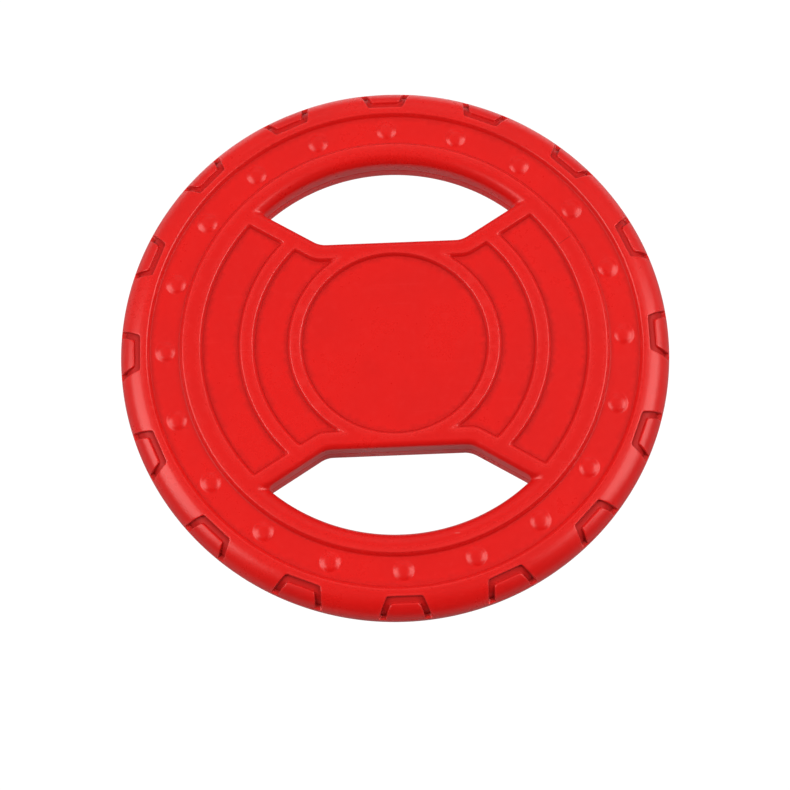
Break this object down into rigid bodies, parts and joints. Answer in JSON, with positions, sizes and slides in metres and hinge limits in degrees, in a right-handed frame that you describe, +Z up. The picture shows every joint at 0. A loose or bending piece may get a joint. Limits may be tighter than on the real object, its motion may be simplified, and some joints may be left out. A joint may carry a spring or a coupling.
{
  "type": "flying ring",
  "caption": "Soft round flying ring with a bow-tie bridge, two hand holes, a studded channel, raised ribs and tread lugs set around a rounded rim; the same on both sides.",
  "frame": {"origin": "centre of the ring, on the seam between the two skins", "axes": "+Z is up and square to the ring; +X runs along the bridge; the hand holes are at +Y and -Y"},
  "size_m": [0.241, 0.241, 0.02],
  "materials": {
    "skin": "satin",
    "tread": "satin",
    "foam": "matte"
  },
  "bodies": {
    "root": {"upper_shell": "skin", "lower_shell": "skin", "tread_ring": "tread", "rim_core": "foam", "bridge_core": "foam"}
  },
  "joints": []
}
